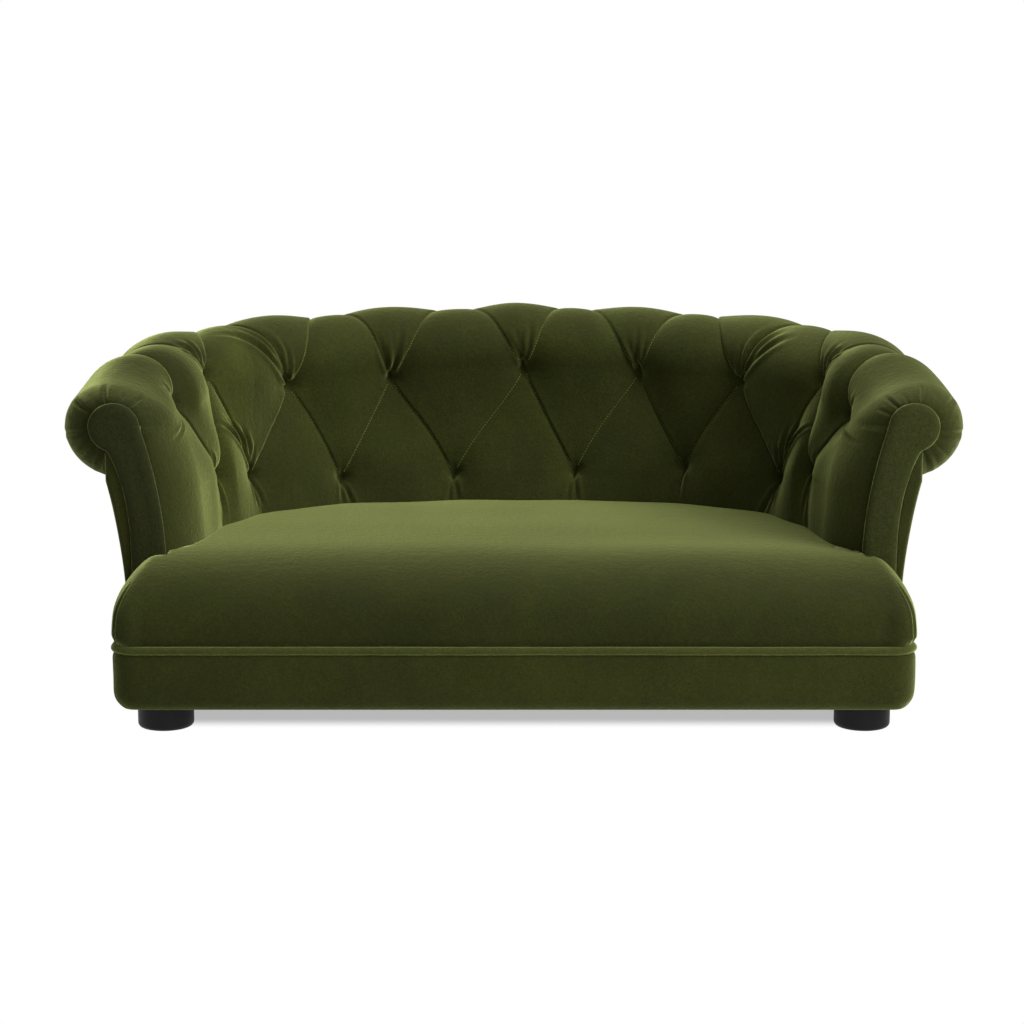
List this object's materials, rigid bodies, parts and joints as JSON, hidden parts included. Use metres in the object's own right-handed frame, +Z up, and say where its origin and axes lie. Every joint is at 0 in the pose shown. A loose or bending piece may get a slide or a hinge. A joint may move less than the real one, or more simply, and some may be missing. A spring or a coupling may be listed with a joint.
{
  "type": "dog sofa bed",
  "caption": "Small horseshoe-shaped sofa bed for a dog, with a deep diamond-tufted back that sweeps into rolled arms, a fixed crowned seat, a plain base band and round feet.",
  "frame": {"origin": "at floor level under the middle of the whole sofa", "axes": "+X to the right as seen from the front, +Y to the back, +Z up"},
  "size_m": [0.9298, 0.5738, 0.3929],
  "materials": {
    "velvet": "deep olive-green velvet pile",
    "velvet_trim": "the same velvet, on the flat facings and the welt",
    "foam": "open-cell foam with wadding",
    "plywood": "raw birch plywood",
    "pine": "raw planed pine",
    "steel": "zinc-plated steel",
    "black_plastic": "satin black moulded plastic",
    "twine": "waxed tufting twine",
    "dust_cloth": "black non-woven cloth"
  },
  "bodies": {
    "root": {"seat_cover": "velvet", "seat_foam": "foam", "back_pad": "velvet", "left_arm_pad": "velvet", "right_arm_pad": "velvet", "back_foam": "foam", "left_arm_foam": "foam", "right_arm_foam": "foam", "back_roll_foam": "foam", "left_roll_foam": "foam", "right_roll_foam": "foam", "left_facing": "velvet_trim", "right_facing": "velvet_trim", "outside_back": "velvet", "left_outside_arm": "velvet", "right_outside_arm": "velvet", "front_band": "velvet", "left_band": "velvet", "right_band": "velvet", "back_band": "velvet", "base_welt": "velvet_trim", "dust_cover": "dust_cloth", "back_liner": "plywood", "left_arm_liner": "plywood", "right_arm_liner": "plywood", "outer_back_board": "plywood", "left_outer_board": "plywood", "right_outer_board": "plywood", "crest_rail": "plywood", "left_arm_rail": "plywood", "right_arm_rail": "plywood", "wall_posts": "pine", "left_arm_board": "plywood", "right_arm_board": "plywood", "seat_deck": "plywood", "front_rail": "pine", "left_side_rail": "pine", "right_side_rail": "pine", "back_rail": "pine", "centre_rail": "pine", "corner_blocks": "pine", "tuft_ties": "twine", "tie_washers": "steel", "tuft_tacks": "steel", "deck_screws": "steel", "rail_screws": "steel", "front_left_foot": "black_plastic", "front_right_foot": "black_plastic", "back_left_foot": "black_plastic", "back_right_foot": "black_plastic", "foot_screws": "steel"}
  },
  "joints": []
}
